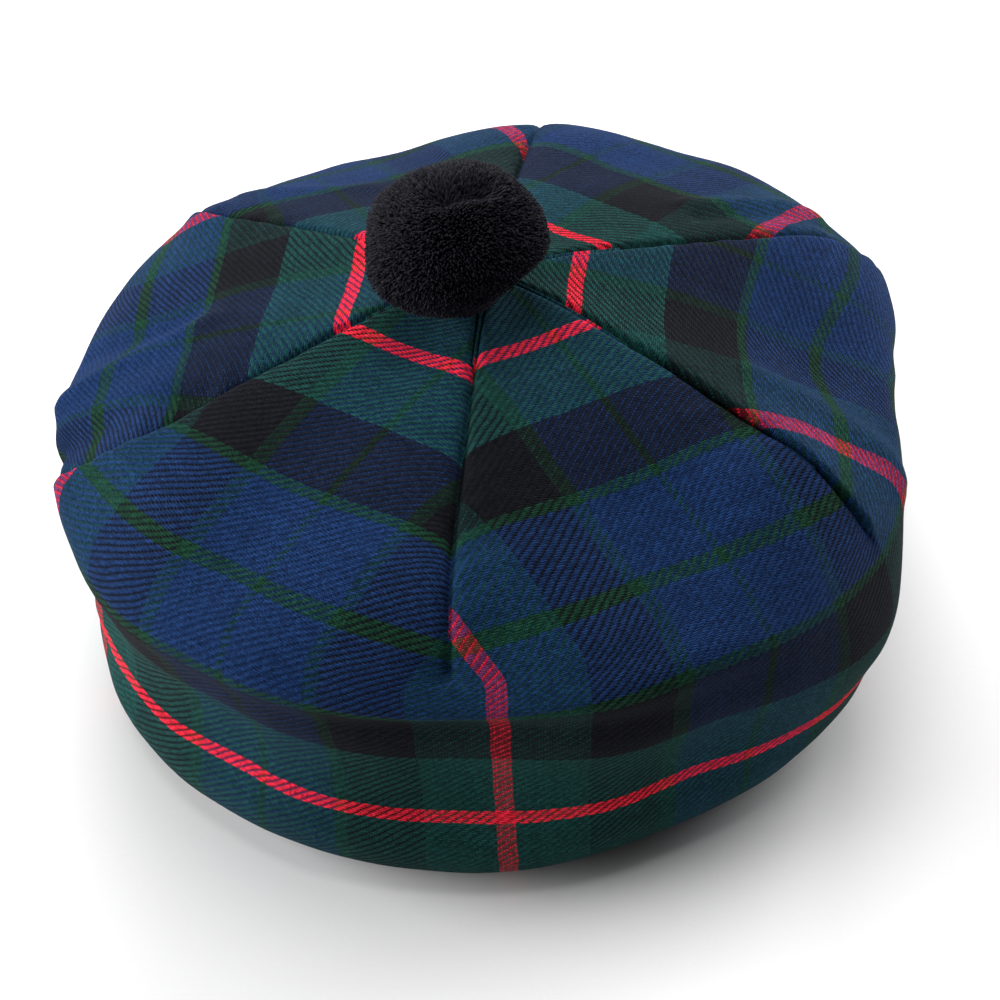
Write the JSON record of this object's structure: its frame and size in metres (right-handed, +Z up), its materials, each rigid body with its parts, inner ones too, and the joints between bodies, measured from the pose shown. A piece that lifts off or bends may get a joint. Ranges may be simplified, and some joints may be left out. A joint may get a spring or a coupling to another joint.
{
  "type": "tam o'shanter bonnet",
  "caption": "Round wide tartan bonnet with wedge panels sewn to the middle of the top, a folded headband and a black pompom, lying by itself.",
  "frame": {"origin": "on the ground, under the middle of the bonnet's outline", "axes": "+Z up, -Y the front that the picture shows, +X to the right seen from the front"},
  "size_m": [0.2681, 0.287, 0.1688],
  "materials": {
    "tartan_cloth": "green, blue and black wool tartan in 2/2 twill with a red overcheck",
    "band_cloth": "the same cloth, folded double",
    "pompom_yarn": "black cut wool yarn"
  },
  "bodies": {
    "root": {"crown": "tartan_cloth", "headband": "band_cloth", "toorie": "pompom_yarn"}
  },
  "joints": []
}
